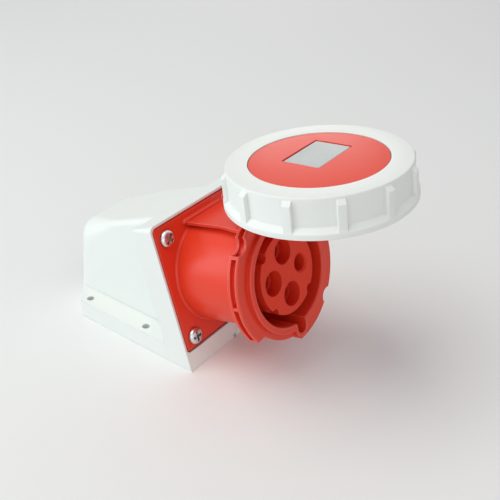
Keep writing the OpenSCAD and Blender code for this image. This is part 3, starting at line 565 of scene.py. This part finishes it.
# %% Ring sections
RING_BACK, RING_TOP, TOP_BACK, RING_IN, WINDOW = 50.0, 73.6, 70.2, 52.6, 41.5
TOP_R, SHOULDER_R, SKIRT_TOP_R, SKIRT_R, LIP_R = 54.74, 54.76, 54.77, 54.8, 57.8
SHOULDER, SKIRT_TOP, LIP_TOP, LIP_EDGE = 71.6, 69.4, 56.4, 53.4
RIB_START_R, RIB_R, RIB_LIP_R = 54.78, 57.4, 57.75
RIB_START, RIB_TOP, RIB_FOOT, RIB_LIP = 71.9, 69.4, 54.8, 53.3
RING_CUTS = (0.4, 0.6, 0.3, 0.35, 0.7, 0.15, 0.3, 0.4, 0.4, 0.4)
inner_side = [(RING_IN, RING_BACK), (RING_IN, TOP_BACK), (WINDOW, TOP_BACK), (WINDOW, RING_TOP)]
between_ribs = ease(inner_side + [
    (TOP_R, RING_TOP), (SHOULDER_R, SHOULDER), (SKIRT_TOP_R, SKIRT_TOP), (SKIRT_R, LIP_TOP),
    (LIP_R, LIP_EDGE), (LIP_R, RING_BACK)], RING_CUTS)
on_rib = ease(inner_side + [
    (TOP_R, RING_TOP), (RIB_START_R, RIB_START), (RIB_R, RIB_TOP), (RIB_R, RIB_FOOT),
    (RIB_LIP_R, RIB_LIP), (LIP_R, RING_BACK)], RING_CUTS)
print("ring sections:", len(between_ribs), "points each")

# %% Ring surface
RIBS, RIB_FROM, RIB_HALF, RIB_FLANK = 12, 15.0, 2.4, 0.6
RIB_PITCH, FLANK_OVER, FLANK_LINES = 360.0 / RIBS, 0.1, 7
RIB_LINES, FREE_LINES = (0.0, 1.1), (4.4, 6.2, 8.2, 10.4, 12.6)
flank = np.linspace(RIB_HALF - FLANK_OVER, RIB_HALF + RIB_FLANK + FLANK_OVER, FLANK_LINES)
half_pitch = np.concatenate([RIB_LINES, flank, FREE_LINES])
pitch = np.concatenate([-half_pitch[:0:-1], half_pitch, [RIB_PITCH / 2]])
ring_angles = (RIB_FROM + np.arange(RIBS)[:, None] * RIB_PITCH + pitch[None]).ravel()
from_rib = np.abs(np.tile(pitch, RIBS))
swell = np.clip((RIB_HALF + RIB_FLANK - from_rib) / RIB_FLANK, 0.0, 1.0)
swell = swell * swell * (3.0 - 2.0 * swell)
ring_sections = between_ribs + swell[:, None, None] * (on_rib - between_ribs)
ring_points = carry_round(ring_sections, np.radians(ring_angles))
ring_shell = (on_lid(ring_points), [grid_quads(*ring_points.shape[:2])])
print("ring surface:", ring_points.shape[0], "sections round the axis")

# %% Teeth and beads inside the ring
TOOTH_R, TOOTH_Z, TOOTH_CUT, TOOTH_AT = (46.4, 53.4), (50.9, 54.9), 0.5, (49.5, 229.5)
BEAD_R, BEAD_Z, BEAD_CUT, BEAD_AT = (50.0, 53.4), (65.1, 66.5), 0.4, range(0, 360, 60)
BAR_WIDTH, BAR_LINES = 16.0, 13


def arc_bar(corners, cut, middle):
    """An eased section carried along an arc round its middle angle, closed by its two end faces."""
    section = ease(corners, cut, 4)
    angles = np.linspace(middle - BAR_WIDTH / 2, middle + BAR_WIDTH / 2, BAR_LINES)
    points = carry_round(section, np.radians(angles))
    rows, columns = points.shape[:2]
    ends = np.stack([np.arange(columns)[::-1], np.arange(columns) + (rows - 1) * columns])
    return on_lid(points), [grid_quads(rows, columns, False), ends]


teeth = [arc_bar(rectangle(TOOTH_R, TOOTH_Z), TOOTH_CUT, angle) for angle in TOOTH_AT]
beads = [arc_bar(rectangle(BEAD_R, BEAD_Z), BEAD_CUT, angle) for angle in BEAD_AT]
locking_ring = new_object("locking_ring", [ring_shell] + teeth + beads)
locking_ring.data.materials.append(ring_white)
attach(locking_ring, "ring")
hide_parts("bayonet_ring")

# %% [markdown]
# Pan-head screws
#
# Four screws hold the flange. Each has a low domed head with a cross recess and a tapping thread. The
# head is a square grid bent into a disc, because then the arms of the cross follow the grid lines and
# get clean walls; a polar grid would fray them. The side of the head and the thread go on as rings
# from the grid's own border, so each screw is one closed surface.

# %% Screw head
HEAD_R, HEAD_H, HEAD_EDGE, DOME_POWER = 5.9, 3.4, 0.8, 4.5
ARM, ARM_END, RECESS, END_RISE = 0.17, 0.64, 2.4, 0.4
ARM_WALL, END_IN, END_OUT = 0.012, 0.03, 0.01
# Lines of the grid, as shares of the head's radius: close at the walls of the cross and at the rim.
half_lines = np.array([
    0.05, ARM - ARM_WALL, ARM + ARM_WALL, 0.2, 0.3, 0.42, ARM_END - END_IN, ARM_END + END_OUT,
    0.7, 0.8, 0.88, 0.94, 0.98, 1.0])
lines = np.concatenate([-half_lines[::-1], [0.0], half_lines])
gx, gy = np.meshgrid(lines, lines, indexing="ij")
disc_x, disc_y = gx * np.sqrt(1 - gy ** 2 / 2), gy * np.sqrt(1 - gx ** 2 / 2)
reach = np.clip(np.hypot(disc_x, disc_y), 0.0, 1.0)
dome_share = np.sqrt(np.clip(1.0 - reach ** DOME_POWER, 0.0, 1.0))
dome_height = HEAD_EDGE + (HEAD_H - HEAD_EDGE) * dome_share
in_arm_x = (np.abs(gy) < ARM) & (np.abs(gx) < ARM_END)
in_arm_y = (np.abs(gx) < ARM) & (np.abs(gy) < ARM_END)
along_arm = np.maximum(np.abs(gx), np.abs(gy)) / ARM_END
sunk = (in_arm_x | in_arm_y) * RECESS * (1.0 - END_RISE * along_arm ** 2)
head_grid = np.stack([HEAD_R * disc_x, HEAD_R * disc_y, dome_height - sunk], -1)
print("screw head:", head_grid.shape[0], "lines each way")

# %% Screw side and thread
NECK = np.array([(5.86, 0.25), (5.6, 0.0), (2.7, 0.0), (2.6, -1.2)])
TIP = np.array([(1.7, -12.0), (0.9, -12.4)])
THREAD_FROM, THREAD_TO, THREAD_RINGS = -1.6, -11.4, 56
THREAD_PITCH, CREST, ROOT, FLANK_SLOPE, ROOT_FLAT = 1.8, 2.68, 2.15, 1.6, 0.3
size = len(lines)
numbers = np.arange(size * size).reshape(size, size)
border = np.concatenate([numbers[0, :-1], numbers[:-1, -1], numbers[-1, :0:-1], numbers[:0:-1, 0]])
around = np.arctan2(head_grid[..., 1], head_grid[..., 0]).ravel()[border]
thread_z = np.linspace(THREAD_FROM, THREAD_TO, THREAD_RINGS)
turns = thread_z[:, None] / THREAD_PITCH - around[None] / (2 * math.pi)
from_root = np.abs(turns % 1.0 - 0.5) * 2
thread_r = ROOT + (CREST - ROOT) * np.clip(FLANK_SLOPE * from_root - ROOT_FLAT, 0.0, 1.0)
neck_r, tip_r = (np.tile(outline[:, :1], len(border)) for outline in (NECK, TIP))
ring_r = np.concatenate([neck_r, thread_r, tip_r])
ring_z = np.concatenate([NECK[:, 1], thread_z, TIP[:, 1]])[:, None] * np.ones(len(border))
side_rings = np.stack([ring_r * np.cos(around), ring_r * np.sin(around), ring_z], -1)
print("screw side:", ring_r.shape[0], "rings of", ring_r.shape[1], "points")

# %% One closed screw
screw_points = np.concatenate([head_grid.reshape(-1, 3), side_rings.reshape(-1, 3)])
side_numbers = size * size + np.arange(ring_r.size).reshape(ring_r.shape)
bands = np.concatenate([border[None], side_numbers])
band_quads = bands.ravel()[grid_quads(*bands.shape, wrap_rows=False)]
screw_faces = [grid_quads(size, size, False, False)[:, ::-1], band_quads, bands[-1:]]
print("one screw:", len(screw_points), "points")

# %% The four screws
SCREW_AT, FLANGE_FACE = 37.0, -0.4
SCREW_TURNS = ((-1, -1, 88.0), (-1, 1, 46.0), (1, -1, 38.0), (1, 1, 5.0))


def placed_screw(across, up, turn):
    """The screw turned about its own axis and moved to its corner of the flange."""
    c, s = math.cos(math.radians(turn)), math.sin(math.radians(turn))
    turned = screw_points @ np.array([[c, s, 0.0], [-s, c, 0.0], [0.0, 0.0, 1.0]])
    return on_socket(turned + [across * SCREW_AT, up * SCREW_AT, FLANGE_FACE]), screw_faces


pan_screws = new_object("pan_screws", [placed_screw(*turn) for turn in SCREW_TURNS], sharp=40.0)
pan_screws.data.materials.append(zinc_steel)
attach(pan_screws, "housing")
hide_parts("flange_screws")

# %% [markdown]
# Lid seal
#
# A rubber ring in the lid closes on the rim of the mouth and keeps water out. A plain flat ring would
# be a cylinder with a hole, but a real seal is pressed with two soft lips that bend first. So it is a
# turned section with two eased lips and a valley between them.

# %% Seal ring
SEAL_LINES = 120
SEAL_CORNERS = [
    (34.75, 67.8), (34.75, 66.3), (36.4, 65.8), (38.25, 66.7), (40.1, 65.8), (41.75, 66.3),
    (41.75, 67.8)]
SEAL_CUTS = (0.2, 0.4, 0.7, 0.7, 0.7, 0.4, 0.2)
seal_points = carry_round(ease(SEAL_CORNERS, SEAL_CUTS), full_turn(SEAL_LINES))
seal_shell = (on_lid(seal_points), [grid_quads(*seal_points.shape[:2])])
lid_lip_seal = new_object("lid_lip_seal", [seal_shell])
lid_lip_seal.data.materials.append(black_rubber)
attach(lid_lip_seal, "lid")
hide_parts("lid_seal")

# %% [markdown]
# Cable grommet
#
# The cable enters through a rubber grommet in the rear wall, whose stepped membrane is cut open to
# the cable's width. Its lips grip the wall from both sides. It could be lathed with the Screw
# modifier, but that leaves open poles in the middle, so the section is carried round in numpy and
# both its ends are closed by a fan of triangles.

# %% Turned solids with two poles


def turned_solid(section, steps):
    """A section carried round; its first and last points, on the axis, are poles with fans."""
    rings = carry_round(section[1:-1], full_turn(steps))
    rows, columns = rings.shape[:2]
    poles = np.array([[0.0, 0.0, section[0][1]], [0.0, 0.0, section[-1][1]]])
    first, pole = np.arange(rows) * columns, np.full(rows, rows * columns)
    last = first + columns - 1
    fans = np.concatenate([
        np.stack([pole, np.roll(first, -1), first], -1),
        np.stack([pole + 1, last, np.roll(last, -1)], -1)])
    points = np.concatenate([rings.reshape(-1, 3), poles])
    return points, [grid_quads(rows, columns, True, False), fans]


# %% Grommet in the rear wall
ENTRY_X, ENTRY_Z, GROMMET_CUT, GROMMET_LINES = -55.0, 30.0, 0.28, 96
MEMBRANE = [
    (0.0, -5.5), (4.5, -5.5), (4.9, -4.9), (8.3, -4.9), (8.9, -4.3), (11.0, -4.2), (11.8, -3.4),
    (13.8, -2.5), (19.0, -2.5), (19.0, -0.2), (15.8, -0.2), (15.8, 9.2), (17.5, 9.2), (15.5, 11.7),
    (13.0, 11.7), (13.0, 0.0), (8.8, -3.9), (0.0, -3.9)]
membrane = ease(MEMBRANE, GROMMET_CUT, 4, closed=False)
grommet_points, grommet_faces = turned_solid(membrane, GROMMET_LINES)
down, across, inwards = grommet_points.T
grommet_place = np.stack([ENTRY_X + inwards, across, ENTRY_Z - down], -1)
entry_grommet = new_object("entry_grommet", [(grommet_place, grommet_faces)])
entry_grommet.data.materials.append(black_rubber)
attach(entry_grommet, "housing")
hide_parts("cable_grommet")

# %% [markdown]
# Flange sheet
#
# A thin rubber sheet seals the flange against the box. It is square outside and round inside, so a
# turned section won't do, and a Boolean cut would leave long thin triangles. Here each point of the
# rounded square has a partner on the circle, in the same direction from the axis, and a flat section
# with eased edges lies between the two.

# %% Sheet under the flange
FLANGE_W, FLANGE_H, FLANGE_UP, OPENING_R = 93.8, 92.6, 0.7, 39.0
SHEET_Z, SHEET_CUT = (-6.4, -4.9), 0.02
CORNER_CUT, CORNER_LINES, SIDE_LINES = 3.6, 9, 12
flange_x, flange_y = (-FLANGE_W / 2, FLANGE_W / 2), (-FLANGE_H / 2, FLANGE_H / 2)
square = ease(rectangle(flange_x, flange_y), CORNER_CUT, CORNER_LINES) + [0.0, FLANGE_UP]
corners = square.reshape(4, CORNER_LINES, 2)
share = np.linspace(0.0, 1.0, SIDE_LINES, endpoint=False)[None, :, None]
sides = corners[:, -1:] + share * (np.roll(corners, -1, 0)[:, :1] - corners[:, -1:])
rim = np.concatenate([corners[:, :-1], sides], 1).reshape(-1, 2)
hole = OPENING_R * rim / np.linalg.norm(rim, axis=1, keepdims=True)
sheet_section = ease(rectangle((0.0, 1.0), SHEET_Z), SHEET_CUT, 3)
across_sheet = hole[:, None] + sheet_section[None, :, :1] * (rim - hole)[:, None]
sheet_height = np.broadcast_to(sheet_section[None, :, 1:], across_sheet.shape[:2] + (1,))
sheet_points = np.concatenate([across_sheet, sheet_height], -1)
sheet_shell = (on_socket(sheet_points), [grid_quads(*sheet_points.shape[:2])])
flange_sheet = new_object("flange_sheet", [sheet_shell])
flange_sheet.data.materials.append(black_rubber)
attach(flange_sheet, "housing")
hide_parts("flange_gasket")

# %% [markdown]
# Hinge pin
#
# The lid swings on a steel pin that is pressed into two ears. A plain cylinder has sharp rims, but a
# real pin has domed ends where it was cut and tumbled, so it is a turned section that closes in a
# pole at both ends.

# %% Pin
PIN_R, PIN_HALF, PIN_DOME, DOME_ROUND, PIN_LINES = 2.5, 17.0, 1.0, 0.6, 48
quarter = np.linspace(0.0, math.pi / 2, 7)
end_r = PIN_R * np.sin(quarter) ** DOME_ROUND
end_x = PIN_HALF - PIN_DOME + PIN_DOME * np.cos(quarter)
pin_section = np.concatenate([np.stack([end_r, end_x], -1), np.stack([end_r, -end_x], -1)[::-1]])
pin_points, pin_faces = turned_solid(pin_section, PIN_LINES)
up, out, across = pin_points.T
pin_place = np.stack([across, up + HINGE_UP, out + HINGE_OUT], -1)
domed_pin = new_object("domed_pin", [(on_socket(pin_place), pin_faces)])
domed_pin.data.materials.append(zinc_steel)
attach(domed_pin, "housing")
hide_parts("hinge_pin")
